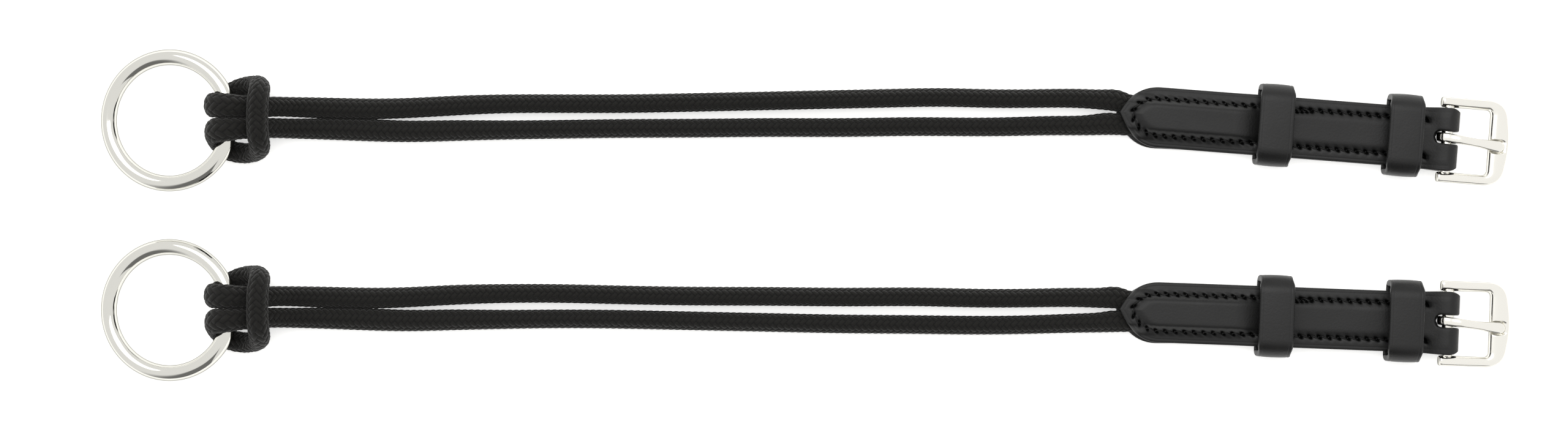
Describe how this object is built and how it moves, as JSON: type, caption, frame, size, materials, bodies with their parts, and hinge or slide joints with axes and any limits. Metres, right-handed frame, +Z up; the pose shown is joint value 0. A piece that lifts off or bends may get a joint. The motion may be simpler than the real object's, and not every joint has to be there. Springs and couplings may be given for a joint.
{
  "type": "rope gag cheekpieces",
  "caption": "Pair of bridle cheekpieces: braided cord held to a rein ring by a cow hitch, sewn into a folded leather strap with a buckle and two keepers.",
  "frame": {"origin": "centre of the pair, on the surface that it lies on", "axes": "+X from the rings to the buckles, +Y from the right cheekpiece to the left one, +Z up from the surface"},
  "size_m": [0.4466, 0.105, 0.0197],
  "materials": {
    "steel": "polished stainless steel",
    "leather": "smooth black bridle leather, half gloss",
    "filler": "undressed leather",
    "cord": "black braided nylon, matt",
    "thread": "waxed black thread"
  },
  "bodies": {
    "left_cheekpiece": {"left_cord_hitch": "cord", "left_cord_strand_a": "cord", "left_cord_strand_b": "cord", "left_cord_tail_a": "cord", "left_cord_tail_b": "cord", "left_strap": "leather", "left_filler": "filler", "left_keeper_far": "leather", "left_keeper_near": "leather", "left_stitching_front": "thread", "left_stitching_back": "thread"},
    "left_ring_body": {"left_ring": "steel"},
    "left_frame_body": {"left_buckle_frame": "steel"},
    "left_tongue_body": {"left_buckle_tongue": "steel"},
    "right_cheekpiece": {"right_cord_hitch": "cord", "right_cord_strand_a": "cord", "right_cord_strand_b": "cord", "right_cord_tail_a": "cord", "right_cord_tail_b": "cord", "right_strap": "leather", "right_filler": "filler", "right_keeper_far": "leather", "right_keeper_near": "leather", "right_stitching_front": "thread", "right_stitching_back": "thread"},
    "right_ring_body": {"right_ring": "steel"},
    "right_frame_body": {"right_buckle_frame": "steel"},
    "right_tongue_body": {"right_buckle_tongue": "steel"}
  },
  "joints": [
    {"name": "left_ring_swing", "type": "hinge", "parent": "left_cheekpiece", "child": "left_ring_body", "pos_m": [-0.1814, 0.03005, 0.0091], "axis": [0, 1, 0], "range_deg": [-20, 95]},
    {"name": "left_buckle_swing", "type": "hinge", "parent": "left_cheekpiece", "child": "left_frame_body", "pos_m": [0.20389, 0.02397, 0.00395], "axis": [0.0774, 0.997, 0], "range_deg": [-108, 110]},
    {"name": "left_tongue_lift", "type": "hinge", "parent": "left_frame_body", "child": "left_tongue_body", "pos_m": [0.20389, 0.02397, 0.00395], "axis": [-0.0774, -0.997, 0], "range_deg": [0, 108]},
    {"name": "right_ring_swing", "type": "hinge", "parent": "right_cheekpiece", "child": "right_ring_body", "pos_m": [-0.1814, -0.03005, 0.0091], "axis": [0, 1, 0], "range_deg": [-20, 95]},
    {"name": "right_buckle_swing", "type": "hinge", "parent": "right_cheekpiece", "child": "right_frame_body", "pos_m": [0.20413, -0.0343, 0.00395], "axis": [0.0373, 0.9993, 0], "range_deg": [-108, 110]},
    {"name": "right_tongue_lift", "type": "hinge", "parent": "right_frame_body", "child": "right_tongue_body", "pos_m": [0.20413, -0.0343, 0.00395], "axis": [-0.0373, -0.9993, 0], "range_deg": [0, 108]},
    {"name": "pair_spacing", "type": "slide", "parent": "left_cheekpiece", "child": "right_cheekpiece", "axis": [0, -1, 0], "range_m": [0, 0.06]}
  ]
}
